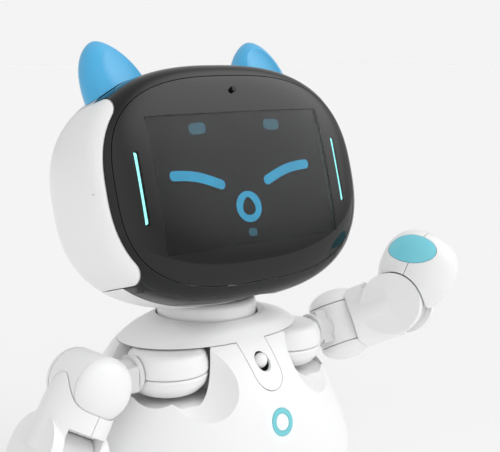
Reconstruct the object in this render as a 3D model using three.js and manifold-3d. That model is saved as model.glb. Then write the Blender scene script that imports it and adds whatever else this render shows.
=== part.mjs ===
// Educational coding robot: head with a curved glass face, two ears, turning and tilting neck,
// egg-shaped body on hidden wheels, and two four-joint arms. Millimetres, +Z up, floor at z = 0.
// The robot faces -Y and its own left hand is on +X.
import * as THREE from 'three';
import { RoundedBoxGeometry } from 'three/addons/geometries/RoundedBoxGeometry.js';
import { mergeVertices } from 'three/addons/utils/BufferGeometryUtils.js';
import Module from 'manifold-3d';

const wasm = await Module();
wasm.setup();

const WALL = 2.4;      // thickness of the moulded casings
const GAP = 0.5;       // clearance at seams and between casings
const deg = THREE.MathUtils.degToRad;

// ---------------------------------------------------------------- solids and booleans
function solid(geometry) {
  const bare = geometry.clone();
  bare.deleteAttribute('normal');
  bare.deleteAttribute('uv');
  const welded = mergeVertices(bare, 1e-4);
  const mesh = new wasm.Mesh({
    numProp: 3,
    vertProperties: new Float32Array(welded.attributes.position.array),
    triVerts: new Uint32Array(welded.index.array),
  });
  return new wasm.Manifold(mesh);
}

function geometryOf(manifold) {
  const mesh = manifold.getMesh();
  const geometry = new THREE.BufferGeometry();
  geometry.setAttribute('position', new THREE.BufferAttribute(new Float32Array(mesh.vertProperties), 3));
  geometry.setIndex(new THREE.BufferAttribute(new Uint32Array(mesh.triVerts), 1));
  geometry.computeVertexNormals();
  return geometry;
}

function box(width, depth, height, x = 0, y = 0, z = 0) {
  return solid(new THREE.BoxGeometry(width, depth, height).translate(x, y, z));
}

// Cylinder about a chosen axis, from one end to the other along it.
function cylinder(axis, radius, from, to, segments = 24, radiusEnd = radius) {
  const geometry = new THREE.CylinderGeometry(radiusEnd, radius, to - from, segments);
  geometry.translate(0, (from + to) / 2, 0);
  if (axis === 'x') geometry.rotateZ(-Math.PI / 2);
  if (axis === 'z') geometry.rotateX(Math.PI / 2);
  return solid(geometry);
}

// Body of revolution about Z from [radius, z] points that start and end on the axis, bottom first.
function turned(points, segments = 26) {
  const profile = points.map(([r, z]) => new THREE.Vector2(r, z));
  return solid(new THREE.LatheGeometry(profile, segments).rotateX(Math.PI / 2));
}

const signedPower = (v, e) => Math.sign(v) * Math.abs(v) ** e;

// Closed rounded body: superellipse rings in XZ, depth profile along Y that may differ front and back.
function roundedBody(shape, inset = 0, across = 28, along = 16) {
  const geometry = new THREE.SphereGeometry(1, across, along);
  const position = geometry.attributes.position;
  for (let i = 0; i < position.count; i += 1) {
    const x = position.getX(i);
    const y = position.getY(i);
    const z = position.getZ(i);
    const ring = Math.hypot(x, z) || 1;
    const profile = y < 0 ? shape.front : shape.back;
    const depth = profile.depth - inset;
    const reach = ring > 1e-6 ? Math.min(ring, 1) ** (2 / profile.power) : 0;
    const px = (shape.width - inset) * reach * signedPower(x / ring, 2 / shape.power);
    const pz = (shape.height - inset) * reach * signedPower(z / ring, 2 / shape.power);
    position.setXYZ(i, px, depth * signedPower(y, 2 / profile.power), pz);
  }
  return solid(geometry);
}

function ellipsoid(rx, ry, rz, x = 0, y = 0, z = 0, power = 2, across = 20, along = 12) {
  const profile = { depth: ry, power };
  const shape = { width: rx, height: rz, power, front: profile, back: profile };
  return roundedBody(shape, 0, across, along).translate(x, y, z);
}

// ---------------------------------------------------------------- materials
const finish = {
  white: { color: 0xf1f2f3, roughness: 0.3, metalness: 0 },
  black: { color: 0x0c0d0f, roughness: 0.16, metalness: 0 },
  glass: { color: 0x101317, roughness: 0.06, metalness: 0 },
  screen: { color: 0x15191d, roughness: 0.3, metalness: 0 },
  glow: { color: 0x6fd8df, roughness: 0.35, metalness: 0 },
  ear: { color: 0x4fb8ea, roughness: 0.34, metalness: 0 },
  frame: { color: 0x3a3d41, roughness: 0.6, metalness: 0 },
  servo: { color: 0x1c1e21, roughness: 0.5, metalness: 0 },
  board: { color: 0x1d5c3c, roughness: 0.55, metalness: 0 },
  cell: { color: 0x2b4f8c, roughness: 0.5, metalness: 0 },
  tyre: { color: 0x202224, roughness: 0.85, metalness: 0 },
};

// Facets flatter than this are merged, which keeps the casings light after the cuts.
const FLATNESS = 0.1;

function piece(parent, name, manifold, look) {
  const geometry = geometryOf(manifold.simplify(FLATNESS));
  const mesh = new THREE.Mesh(geometry, new THREE.MeshStandardMaterial(finish[look]));
  mesh.name = name;
  parent.add(mesh);
  return mesh;
}

function frameAt(parent, name, x, y, z) {
  const group = new THREE.Group();
  group.name = name;
  group.position.set(x, y, z);
  parent.add(group);
  return group;
}

const robot = new THREE.Group();
robot.name = 'coding_robot';

// ---------------------------------------------------------------- body casing
// Sections from the bottom up: [height, half width, half depth], centred a little ahead of the origin.
// Heights above the wheels are measured in the torso frame, which stands TORSO_Z above the floor.
const TORSO_Z = 20;
const torso = frameAt(robot, 'torso', 0, 0, TORSO_Z);
const BODY_Y = -7;
const SECTIONS = [
  [-14, 80, 58], [-9, 96, 71], [0, 107.5, 80], [14, 114.5, 84.6], [30, 117, 86], [46, 113.5, 85.5],
  [62, 106, 83.6], [77, 98.6, 80.4], [92, 91.5, 74.5], [104, 86, 67.8], [114, 82, 60], [122, 78, 52.5],
  [129, 71.5, 45.5], [134, 63, 41.5], [137.5, 52, 38.5], [139.5, 44, 36.5],
];
const BODY_POWER = 2.15;

function bodySolid(inset, segments = 34) {
  const last = SECTIONS.length - 1;
  const rows = SECTIONS.map(([z]) => z);
  rows[0] += inset;
  rows[last] -= inset;
  const profile = [new THREE.Vector2(0, rows[0])];
  rows.forEach((z) => profile.push(new THREE.Vector2(1, z)));
  profile.push(new THREE.Vector2(0, rows[last]));
  const geometry = new THREE.LatheGeometry(profile, segments).rotateX(Math.PI / 2);
  const position = geometry.attributes.position;
  const rowCount = profile.length;
  for (let i = 0; i < position.count; i += 1) {
    const row = i % rowCount;
    if (row > 0 && row < rowCount - 1) {
      const [, halfWidth, halfDepth] = SECTIONS[row - 1];
      const angle = Math.atan2(position.getY(i), position.getX(i));
      const x = (halfWidth - inset) * signedPower(Math.cos(angle), 2 / BODY_POWER);
      const y = (halfDepth - inset) * signedPower(Math.sin(angle), 2 / BODY_POWER);
      position.setXYZ(i, x, y + BODY_Y, position.getZ(i));
    } else {
      position.setXYZ(i, 0, BODY_Y, position.getZ(i));
    }
  }
  return solid(geometry);
}

// ---------------------------------------------------------------- shoulder barrels: shared dimensions
const BARREL = { x: 55, y: -29, radius: 29, bottom: 93, seam: 109.6, top: 125.5 };
const HUB_Z = 113;
const DRUM = { reach: 64, radius: 21.3, half: 15.5, cap: 12 };
const NECK = { y: -5, radius: 36.5, top: 152, pivot: 190 };

// A dent or a socket is taken out of the outer form, and a larger copy of it out of the hollow,
// so the casing keeps its wall behind it.
let outer = bodySolid(0);
let hollow = bodySolid(WALL, 24);
function recess(shape) {
  outer = outer.subtract(shape(0));
  hollow = hollow.subtract(shape(WALL));
}
// Seams: the top shell lies above a level seam that dips in a tongue round the chest dome, and a
// side seam parts the front shell from the rear one.
const SEAM_Z = 126.8;
const SEAM_Y = 4;
const slab = (from, to) => box(300, 300, to - from, 0, 0, (from + to) / 2);

// A scooped dish under each shoulder leads into the round well that holds its barrel, and the
// well is open outward so that the arm's hub can come through.
const SCOOP = { x: 59, y: -137.5, z: 119, rx: 46.3, ry: 100, rz: 47.7 };
const WELL = { radius: BARREL.radius + 1.3, bottom: BARREL.bottom - 2.5, top: BARREL.top + 0.9 };
const DOORWAY = { depth: 60, bottom: 97 };
for (const side of [-1, 1]) {
  recess((grow) => ellipsoid(
    SCOOP.rx + grow, SCOOP.ry + grow, SCOOP.rz + grow, side * SCOOP.x, SCOOP.y, SCOOP.z, 2, 32, 24,
  ).intersect(slab(0, SEAM_Z)));
  recess((grow) => cylinder('z', WELL.radius + grow, WELL.bottom - grow, WELL.top + grow, 28)
    .translate(side * BARREL.x, BARREL.y, 0));
  recess((grow) => box(
    DOORWAY.depth, 2 * (WELL.radius + grow), WELL.top - DOORWAY.bottom + 2 * grow,
    side * (BARREL.x + DOORWAY.depth / 2), BARREL.y, (WELL.top + DOORWAY.bottom) / 2,
  ));
}
let casing = outer.subtract(hollow);
casing = casing.subtract(cylinder('z', NECK.radius + 1.6, 120, 150, 32).translate(0, NECK.y, 0));
casing = casing.subtract(box(172, 118, 12, 0, BODY_Y, -14));

// The chest dome and the light ring sit in holes through the front shell.
const CHEST = { domeY: -64.5, domeZ: 113.5, domeRadius: 5.6, ringZ: 74.5, ringOuter: 9.1, ringInner: 6.1 };
const BUTTON = { z: 84, radius: 6.4 };
const SOCKET = { z: 28, width: 14, height: 10 };
// Ring on the chest between two depths below the casing's surface.
const ringInSkin = (inner, outside, top, depth) => {
  const tube = cylinder('y', outside, -100, -60).subtract(cylinder('y', inner, -110, -50));
  return tube.translate(0, 0, CHEST.ringZ).intersect(bodySolid(top).subtract(bodySolid(depth)));
};
const holeThroughShell = (radius, from, to, z) => {
  casing = casing.subtract(cylinder('y', radius, from, to, 24).translate(0, 0, z));
};
holeThroughShell(CHEST.domeRadius + 0.6, -80, -50, CHEST.domeZ);
casing = casing.subtract(ringInSkin(CHEST.ringInner - GAP, CHEST.ringOuter + GAP, -GAP, 1.3));
holeThroughShell(BUTTON.radius + 0.6, 60, 95, BUTTON.z);
casing = casing.subtract(box(SOCKET.width + 1, 30, SOCKET.height + 1, 0, 77, SOCKET.z));

const TONGUE = { radius: 12, flare: 1.5, z: 107.5 };
const tonguePrism = (radius) => {
  const shape = new THREE.Shape();
  shape.moveTo(-radius - TONGUE.flare, 30);
  shape.lineTo(-radius, 0);
  shape.absarc(0, 0, radius, Math.PI, Math.PI * 2, false);
  shape.lineTo(radius + TONGUE.flare, 30);
  shape.closePath();
  return solid(new THREE.ExtrudeGeometry(shape, { depth: 60, bevelEnabled: false, curveSegments: 8 })
    .rotateX(Math.PI / 2).translate(0, -40, TONGUE.z));
};
const tongue = tonguePrism(TONGUE.radius);
const tongueCut = tonguePrism(TONGUE.radius + GAP);
const cape = casing.intersect(slab(SEAM_Z, 160).add(tongue));
const belly = casing.subtract(slab(SEAM_Z - GAP, 160)).subtract(tongueCut);
const mainSolid = (manifold) => manifold.decompose().sort((a, b) => b.volume() - a.volume())[0];
const frontShell = mainSolid(belly.intersect(box(300, 200, 240, 0, SEAM_Y - 100 - GAP / 2, 60)));
const rearShell = mainSolid(belly.intersect(box(300, 200, 240, 0, SEAM_Y + 100 + GAP / 2, 60)));
piece(torso, 'body_front_shell', frontShell, 'white');
piece(torso, 'body_rear_shell', rearShell, 'white');
piece(torso, 'shoulder_cape', mainSolid(cape), 'white');

const dome = ellipsoid(CHEST.domeRadius, 4.4, CHEST.domeRadius, 0, CHEST.domeY, CHEST.domeZ, 2, 14, 8);
const domeStem = cylinder('y', 3.4, CHEST.domeY + 1, CHEST.domeY + 10, 20).translate(0, 0, CHEST.domeZ);
piece(torso, 'chest_dome', dome.add(domeStem), 'white');
piece(torso, 'chest_light_ring', ringInSkin(CHEST.ringInner, CHEST.ringOuter, -0.15, 1.1), 'glow');

// ---------------------------------------------------------------- inside the body
// Closed superellipse outline in the XY plane of a THREE.Shape.
function superellipse(width, height, power, count) {
  const shape = new THREE.Shape();
  for (let i = 0; i < count; i += 1) {
    const angle = (i / count) * Math.PI * 2;
    const x = width * signedPower(Math.cos(angle), 2 / power);
    const y = height * signedPower(Math.sin(angle), 2 / power);
    if (i === 0) shape.moveTo(x, y);
    else shape.lineTo(x, y);
  }
  shape.closePath();
  return shape;
}

const WHEEL = { x: 74, y: 12, radius: 22, width: 10 };
const PLATE = { width: 85, depth: 58, power: 2.6, thickness: 3, z: 8 };
const plateOutline = superellipse(PLATE.width, PLATE.depth, PLATE.power, 40);
let plate = solid(new THREE.ExtrudeGeometry(plateOutline, { depth: PLATE.thickness, bevelEnabled: false })
  .translate(0, BODY_Y, PLATE.z));
for (const side of [-1, 1]) {
  plate = plate.subtract(box(WHEEL.width + 4, 44, 20, side * WHEEL.x, WHEEL.y, 9));
}
plate = plate.subtract(cylinder('z', 10, 0, 20, 28).translate(0, -45, 0));
piece(robot, 'base_plate', plate, 'frame');

// A spine plate with a shelf for the neck servo on top and a foot on the base plate.
let chassis = box(96, 5, 108, 0, 26, 46).add(box(42, 56, 4, 0, 0, 98)).add(box(48, 40, 4, 0, 8, -6.5));
chassis = chassis.subtract(box(40, 20, 40, 0, 26, 60));
piece(torso, 'chassis_frame', chassis, 'frame');
const turnServo = box(40, 40, 14, 0, 0, 107.6).add(cylinder('z', 9, 114, 119.4, 24));
piece(torso, 'neck_turn_servo', turnServo.translate(0, NECK.y, 0), 'servo');
piece(torso, 'battery_pack', box(70, 22, 40, 0, -28, 20.5), 'cell');
piece(torso, 'main_board', box(84, 1.6, 60, 0, 32, 58), 'board');
const speakerCone = turned([[0, 0], [14, 0], [16, 4], [19, 11], [19, 13], [0, 13]], 28);
piece(torso, 'speaker', speakerCone.rotate(90, 0, 0).translate(0, -42, 84), 'servo');
piece(torso, 'power_button', cylinder('y', BUTTON.radius, 66.4, 70.6, 24).translate(0, 0, BUTTON.z), 'glow');
const socket = box(SOCKET.width, 8, SOCKET.height, 0, 73, 0).subtract(box(9, 6, 4, 0, 75.5, 0));
piece(torso, 'charge_socket', socket.translate(0, 0, SOCKET.z), 'black');

for (const [side, word] of [[-1, 'right'], [1, 'left']]) {
  const motor = cylinder('x', 11, 26, 60, 28).add(cylinder('x', 3, 59, 66.5, 16));
  const placed = side > 0 ? motor : motor.mirror([1, 0, 0]);
  piece(robot, `gear_motor_${word}`, placed.translate(0, WHEEL.y, WHEEL.radius), 'servo');
}

// ---------------------------------------------------------------- wheels
for (const [side, word] of [[-1, 'right'], [1, 'left']]) {
  const wheel = frameAt(robot, `drive_wheel_${word}`, side * WHEEL.x, WHEEL.y, WHEEL.radius);
  const half = WHEEL.width / 2;
  const innerDish = cylinder('x', 14.5, -side * 8 - 4, -side * 8 + 4, 24);
  let hub = cylinder('x', WHEEL.radius - 4, -half, half, 26).subtract(innerDish);
  for (let k = 0; k < 5; k += 1) {
    const angle = (k / 5) * Math.PI * 2;
    const hole = cylinder('x', 2.4, -10, 10, 8);
    hub = hub.subtract(hole.translate(0, 9.5 * Math.cos(angle), 9.5 * Math.sin(angle)));
  }
  piece(wheel, `wheel_hub_${word}`, hub, 'white');
  let tyre = cylinder('x', WHEEL.radius, -half, half, 30);
  tyre = tyre.subtract(cylinder('x', WHEEL.radius - 3.7, -half - 1, half + 1, 30));
  piece(wheel, `tyre_${word}`, tyre, 'tyre');
}
const CASTER = { y: -45, radius: 5.2, half: 4.2 };
let fork = box(30, 14, 3, 0, 0, 13).add(cylinder('z', 4, 14, 16, 20));
for (const side of [-1, 1]) {
  fork = fork.add(box(2.4, 8, 9.4, side * 6, 0, 7.2));
}
piece(robot, 'caster_fork', fork.translate(0, CASTER.y, 0), 'frame');
const caster = frameAt(robot, 'caster', 0, CASTER.y, CASTER.radius);
piece(caster, 'caster_wheel', cylinder('x', CASTER.radius, -CASTER.half, CASTER.half, 24), 'tyre');

// ---------------------------------------------------------------- neck and head
const neckTurn = frameAt(torso, 'neck_turn', 0, NECK.y, 0);
const collarOuter = turned([
  [0, 126.5], [33, 126.5], [NECK.radius, 130], [NECK.radius, 148], [34.5, 151], [30, NECK.top], [0, NECK.top],
], 28);
const collarInner = turned([[0, 129], [32, 129], [34, 131], [34, 147], [30, 149.4], [0, 149.4]], 26);
let collar = collarOuter.subtract(collarInner);
collar = collar.subtract(cylinder('z', 17, 120, 160, 28));
piece(neckTurn, 'neck_collar', collar, 'white');
let post = box(22, 22, 66, 0, 0, 153).add(box(46, 14, 4, 0, 0, 121.6));
post = post.add(cylinder('x', 13, -12, 12, 28).translate(0, 0, NECK.pivot));
post = post.subtract(cylinder('x', 4.4, -20, 20, 24).translate(0, 0, NECK.pivot));
piece(neckTurn, 'neck_tilt_servo', post, 'servo');

const HEAD_PITCH = -15.25;          // nose-up tilt of the rest pose, about +X
const headTilt = frameAt(neckTurn, 'head_tilt', 0, 0, NECK.pivot);
headTilt.rotation.x = deg(HEAD_PITCH);
const HEAD_OFFSET = { y: -26, z: 38.5 };
const head = frameAt(headTilt, 'head', 0, HEAD_OFFSET.y, HEAD_OFFSET.z);
const HEAD = {
  width: 119, height: 84.3, power: 2.57,
  front: { depth: 34.7, power: 4.33 },
  back: { depth: 80.3, power: 2.93 },
};
let shell = roundedBody(HEAD, 0, 32, 18).subtract(roundedBody(HEAD, WALL, 24, 14));
// The underside is cleared for the neck collar over the whole range of the tilt.
for (let pitch = -10; pitch <= 20; pitch += 10) {
  const sweep = cylinder('z', NECK.radius + 2, NECK.top - 60, NECK.top + 1, 20).translate(0, 0, -NECK.pivot);
  shell = shell.subtract(sweep.rotate(pitch, 0, 0).translate(0, -HEAD_OFFSET.y, -HEAD_OFFSET.z));
}

const BEZEL_Y = 1.5;       // rear edge of the black bezel over the top and bottom
const PANEL = { y: -24.3, top: 62.5, bottom: -61, side: 82 };
const between = (from, to) => box(300, to - from, 260, 0, (from + to) / 2, 0);
const panelZone = (grow) => {
  const height = PANEL.top - PANEL.bottom + 2 * grow;
  const middle = (PANEL.top + PANEL.bottom) / 2;
  const depth = 120;
  const slotShape = new RoundedBoxGeometry(60, depth + 2 * grow, height, 3, 14);
  slotShape.translate(0, PANEL.y + depth / 2, middle);
  return [-1, 1].map((side) => solid(slotShape).translate(side * (PANEL.side + 30 - grow), 0, 0));
};
const panels = panelZone(0);
const cuts = panelZone(GAP);
const GLASS = { width: 106.5, height: 72.3, power: 2.86 };
const glassPrism = (grow) => {
  const outline = superellipse(GLASS.width + grow, GLASS.height + grow, GLASS.power, 32);
  return solid(new THREE.ExtrudeGeometry(outline, { depth: 60, bevelEnabled: false }).rotateX(Math.PI / 2));
};
const front = shell.intersect(between(-60, BEZEL_Y)).subtract(cuts[0]).subtract(cuts[1]);
const bezel = front.subtract(glassPrism(GAP));
const rear = shell.intersect(between(BEZEL_Y + GAP, 100)).subtract(cuts[0]).subtract(cuts[1]);
piece(head, 'head_shell', mainSolid(rear), 'white');
piece(head, 'side_panel_right', mainSolid(shell.intersect(panels[0])), 'white');
piece(head, 'side_panel_left', mainSolid(shell.intersect(panels[1])), 'white');
piece(head, 'face_bezel', mainSolid(bezel), 'black');
const glass = shell.intersect(glassPrism(0)).subtract(cuts[0]).subtract(cuts[1]);
piece(head, 'face_glass', mainSolid(glass), 'glass');
piece(head, 'display_panel', box(158, 3.2, 94, 0, -26, 0), 'screen');
for (const [side, word] of [[-1, 'right'], [1, 'left']]) {
  const bar = box(2.4, 2, 48).rotate(0, 0, side * 10);
  piece(head, `light_bar_${word}`, bar.translate(side * 89.5, -26.6, -0.4), 'glow');
}
piece(head, 'camera_window', cylinder('y', 4.2, -28.4, -23, 24).translate(0, 0, 62), 'black');
let headFrame = box(150, 3, 118, 0, -19, 0).subtract(box(70, 10, 60, 0, -19, 0));
for (const side of [-1, 1]) {
  headFrame = headFrame.add(box(4, 58, 30, side * 17, 9, -HEAD_OFFSET.z + 2));
}
headFrame = headFrame.add(cylinder('x', 3.8, -17, 17, 20).translate(0, -HEAD_OFFSET.y, -HEAD_OFFSET.z));
piece(head, 'head_frame', headFrame, 'frame');

const EAR = { x: 69, y: 16, z: 80, width: 26, depth: 17, height: 31, lean: 8 };
const headOuter = roundedBody(HEAD, -0.4, 32, 18);
for (const [side, word] of [[-1, 'right'], [1, 'left']]) {
  let ear = ellipsoid(EAR.width, EAR.depth, EAR.height, 0, 0, 0, 2.3, 18, 10);
  ear = ear.subtract(ellipsoid(20, 8, 21, 0, -EAR.depth - 1, 5, 2, 16, 8));
  ear = ear.rotate(0, side * EAR.lean, side * -6).translate(side * EAR.x, EAR.y, EAR.z);
  piece(head, `ear_${word}`, mainSolid(ear.subtract(headOuter)), 'ear');
}

// ---------------------------------------------------------------- arms
// Each arm hangs along -Z in its own frame; +X of that frame points outward, -Y forward.
const ARM = { elbow: 50, sleeve: 24.5, cheek: 23.5, slot: 14, handAlong: 31 };
const HAND = { rx: 23.5, ry: 29.5, rz: 30, y: 3, power: 2.35 };
const PALM = { x: -20.6, y: -3, z: -46.2, depth: 2.2, length: 18.5, height: 11.5, lean: -14, turn: -30 };
const REST = {
  left: { raise: -117, spread: 27, bend: 45 },
  right: { raise: 0, spread: 30, bend: 15 },
};

function mirrored(manifold, side) {
  return side > 0 ? manifold : manifold.mirror([1, 0, 0]);
}

for (const [side, word] of [[-1, 'right'], [1, 'left']]) {
  const rest = REST[word];
  const add = (parent, name, manifold, look) => {
    piece(parent, `${name}_${word}`, mirrored(manifold, side), look);
  };

  // Barrel: turns about its own vertical axis inside the chest well.
  const barrel = frameAt(torso, `barrel_turn_${word}`, side * BARREL.x, BARREL.y, 0);
  const r = BARREL.radius;
  const drumRoom = cylinder('y', DRUM.radius + 1.2, -60, 60, 28).translate(DRUM.reach, 0, HUB_Z);
  const hubRoom = cylinder('x', 11.2, 10, 60, 24).translate(0, 0, HUB_Z);
  let lower = turned([[0, BARREL.bottom], [r - 15, BARREL.bottom + 0.6], [r - 7, BARREL.bottom + 3.6],
    [r - 1.8, BARREL.bottom + 9], [r, BARREL.seam - 0.25], [0, BARREL.seam - 0.25]], 30);
  lower = lower.subtract(cylinder('z', 19.5, BARREL.bottom + 6, BARREL.seam + 5, 24)).subtract(hubRoom);
  let upper = turned([[0, BARREL.seam + 0.25], [r, BARREL.seam + 0.25], [r - 0.4, 118], [r - 2.6, 123.6],
    [r - 6, BARREL.top], [0, BARREL.top]], 30);
  upper = upper.subtract(cylinder('z', 19.5, BARREL.seam - 5, 122.5, 24)).subtract(hubRoom);
  add(barrel, 'barrel_lower', lower, 'white');
  add(barrel, 'barrel_upper', upper, 'white');

  // Hub: turns about the arm's lateral axis and carries a saddle that holds the drum.
  const hub = frameAt(barrel, `arm_raise_${word}`, 0, 0, HUB_Z);
  hub.rotation.x = deg(rest.raise);
  let saddle = cylinder('x', 10.6, 12, 46, 24).add(cylinder('x', 13.4, 28.4, 32.4, 26));
  saddle = saddle.add(box(10, 26, 17, 38, 0, 0));
  saddle = saddle.subtract(cylinder('y', DRUM.radius + GAP, -40, 40, 28).translate(DRUM.reach, 0, 0));
  add(hub, 'hub_saddle', mainSolid(saddle), 'frame');

  // Drum and domed caps: the spread axis runs fore and aft through them.
  const spread = frameAt(hub, `arm_spread_${word}`, side * DRUM.reach, 0, 0);
  spread.rotation.y = deg(-side * rest.spread);
  let band = cylinder('y', DRUM.radius, -DRUM.half, DRUM.half, 30);
  band = band.subtract(cylinder('y', DRUM.radius - WALL, -DRUM.half - 1, DRUM.half + 1, 26));
  add(spread, 'drum_band', band, 'white');
  for (const [facing, place] of [[-1, 'front'], [1, 'rear']]) {
    const cap = ellipsoid(DRUM.radius, DRUM.cap, DRUM.radius, 0, 0, 0, 2, 22, 8);
    const keep = box(60, 30, 60, 0, 15, 0);
    let shape = cap.intersect(keep).add(cylinder('y', DRUM.radius - WALL - 0.4, -3, 0.5, 26));
    shape = facing > 0 ? shape : shape.mirror([0, 1, 0]);
    add(spread, `drum_cap_${place}`, shape.translate(0, facing * (DRUM.half + 0.7), 0), 'white');
  }

  // Sleeve: a rounded tube that ends in two elbow cheeks, split in an outer and an inner half.
  const L = ARM.elbow;
  let sleeve = turned([[0, -L], [ARM.sleeve, -L], [ARM.sleeve, -18], [ARM.sleeve - 1.4, -2],
    [ARM.sleeve - 5, 8], [ARM.sleeve - 12, 16], [0, 17]], 30);
  sleeve = sleeve.add(cylinder('x', ARM.cheek, -ARM.sleeve + 1, ARM.sleeve - 1, 30).translate(0, 0, -L));
  const rimCut = box(90, 90, 60, 0, 0, 30).rotate(0, -23, 0).translate(0, 0, -8);
  sleeve = sleeve.subtract(rimCut);
  sleeve = sleeve.subtract(cylinder('y', DRUM.radius + GAP, -DRUM.half - 0.2, DRUM.half + 0.2, 30));
  const capRoom = ellipsoid(DRUM.radius + GAP, DRUM.cap + GAP, DRUM.radius + GAP, 0, 0, 0, 2, 22, 8);
  for (const facing of [-1, 1]) {
    sleeve = sleeve.subtract(capRoom.translate(0, facing * (DRUM.half + 0.7), 0));
  }
  const slotWidth = 2 * ARM.slot + 1.4;
  const drumSlot = cylinder('x', ARM.cheek - 3, -slotWidth / 2, slotWidth / 2, 26);
  sleeve = sleeve.subtract(drumSlot.translate(0, 0, -L));
  sleeve = sleeve.subtract(box(slotWidth, 60, 60, 0, 0, -L - 26));
  sleeve = sleeve.subtract(box(slotWidth, 40, 40, 0, -30, -L));
  const outerHalf = sleeve.intersect(box(60, 90, 120, 30 + GAP / 2, 0, -20));
  const innerHalf = sleeve.intersect(box(60, 90, 120, -30 - GAP / 2, 0, -20));
  add(spread, 'sleeve_outer', mainSolid(outerHalf), 'white');
  add(spread, 'sleeve_inner', mainSolid(innerHalf), 'white');

  // Forearm: a drum between the cheeks, a two-part hand round it, and the oval palm light.
  const elbow = frameAt(spread, `elbow_${word}`, 0, 0, -L);
  elbow.rotation.x = deg(-rest.bend);
  const core = cylinder('x', 19.3, -ARM.slot, ARM.slot, 30).add(box(24, 26, 24, 0, 0, -24));
  add(elbow, 'forearm_core', core, 'servo');
  const handForm = (grow) => ellipsoid(
    HAND.rx + grow, HAND.ry + grow, HAND.rz + grow, 0, HAND.y, -ARM.handAlong, HAND.power, 18, 12,
  );
  let hand = handForm(0);
  hand = hand.subtract(cylinder('x', ARM.cheek + 1, -40, 40, 30));
  hand = hand.subtract(box(80, 60, 60, 0, -30, 30).rotate(-42, 0, 0));
  hand = hand.subtract(box(80, 60, 60, 0, 30, 30).rotate(12, 0, 0));
  hand = hand.subtract(box(24 + GAP, 27, 40, 0, 0, -20));
  // The palm light is an oval inlay of even depth that follows the hand's surface.
  const palmInlay = (grow, proud) => {
    const outline = superellipse(PALM.height + grow, PALM.length + grow, 2, 32);
    return solid(new THREE.ExtrudeGeometry(outline, { depth: 30, bevelEnabled: false }))
      .translate(0, 0, -15).rotate(0, 90, 0).rotate(PALM.lean, PALM.turn, 0)
      .translate(PALM.x, PALM.y, PALM.z).intersect(handForm(proud).subtract(handForm(-PALM.depth - grow)));
  };
  hand = hand.subtract(palmInlay(0.35, 1));
  add(elbow, 'hand_front', mainSolid(hand.intersect(box(80, 60, 120, 0, -30 - GAP / 2, -40))), 'white');
  add(elbow, 'hand_back', mainSolid(hand.intersect(box(80, 60, 120, 0, 30 + GAP / 2, -40))), 'white');
  const palm = mainSolid(palmInlay(0, 0.2));
  add(elbow, 'palm_light', palm, 'glow');
}

export default robot;
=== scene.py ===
"""Educational coding robot: detailed pieces, materials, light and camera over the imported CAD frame.

Shapes are written in millimetres in the frame of the body they belong to, then placed in metres.
The robot faces -Y, its own left hand is on +X, and the floor is z = 0.
"""
import math

import bmesh
import bpy
import numpy as np
from mathutils import Euler, Matrix, Vector


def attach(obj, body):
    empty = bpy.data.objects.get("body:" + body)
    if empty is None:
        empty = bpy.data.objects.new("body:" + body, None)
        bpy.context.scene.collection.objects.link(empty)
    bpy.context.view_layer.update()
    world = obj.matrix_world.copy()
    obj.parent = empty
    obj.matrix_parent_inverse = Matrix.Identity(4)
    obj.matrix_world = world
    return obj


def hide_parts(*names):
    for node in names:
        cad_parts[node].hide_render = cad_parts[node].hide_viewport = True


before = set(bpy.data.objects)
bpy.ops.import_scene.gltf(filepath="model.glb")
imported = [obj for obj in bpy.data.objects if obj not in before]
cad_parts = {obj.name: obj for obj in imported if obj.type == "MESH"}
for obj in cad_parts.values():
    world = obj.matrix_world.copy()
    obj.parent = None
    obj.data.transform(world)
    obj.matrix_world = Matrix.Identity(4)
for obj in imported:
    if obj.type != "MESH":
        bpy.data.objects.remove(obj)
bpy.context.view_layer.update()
scene = bpy.context.scene
scene.view_settings.view_transform = "Standard"

WALL = 2.4     # casing thickness
GAP = 0.5      # seam between neighbouring casings
SIDES = ((-1, "right"), (1, "left"))


# ---------------------------------------------------------------- forms
def form(points, faces):
    """Closed mesh object from points in millimetres, with its faces turned outward."""
    mesh = bpy.data.meshes.new("form")
    mesh.from_pydata([tuple(p) for p in points], [], faces)
    work = bmesh.new()
    work.from_mesh(mesh)
    bmesh.ops.recalc_face_normals(work, faces=work.faces)
    work.to_mesh(mesh)
    work.free()
    obj = bpy.data.objects.new("form", mesh)
    scene.collection.objects.link(obj)
    return obj


def loft(rings):
    """Closed solid through rings of equal length, with a fan to the middle at each end."""
    rings = np.asarray(rings, float)
    count, around = rings.shape[:2]
    points = np.concatenate([rings.reshape(-1, 3), [rings[0].mean(0)], [rings[-1].mean(0)]])
    faces = []
    for r in range(count - 1):
        for i in range(around):
            j = (i + 1) % around
            faces.append((r * around + i, r * around + j, (r + 1) * around + j, (r + 1) * around + i))
    first, last = count * around, count * around + 1
    for i in range(around):
        j = (i + 1) % around
        faces.append((j, i, first))
        faces.append(((count - 1) * around + i, (count - 1) * around + j, last))
    return form(points, faces)


def box(width, depth, height, x=0.0, y=0.0, z=0.0):
    """Block of the given size round a middle point."""
    corners = []
    for sx in (-0.5, 0.5):
        for sy in (-0.5, 0.5):
            for sz in (-0.5, 0.5):
                corners.append((x + sx * width, y + sy * depth, z + sz * height))
    faces = [(0, 1, 3, 2), (4, 6, 7, 5), (0, 4, 5, 1), (2, 3, 7, 6), (0, 2, 6, 4), (1, 5, 7, 3)]
    return form(corners, faces)


def angles(count):
    """Evenly spaced angles over one full turn."""
    return np.arange(count) / count * math.tau


def superellipse_reach(angle, width, height, power):
    """Distance from the middle to a superellipse in the direction of each angle."""
    across = np.abs(np.cos(angle) / width) ** power
    along = np.abs(np.sin(angle) / height) ** power
    return (across + along) ** (-1 / power)


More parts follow.
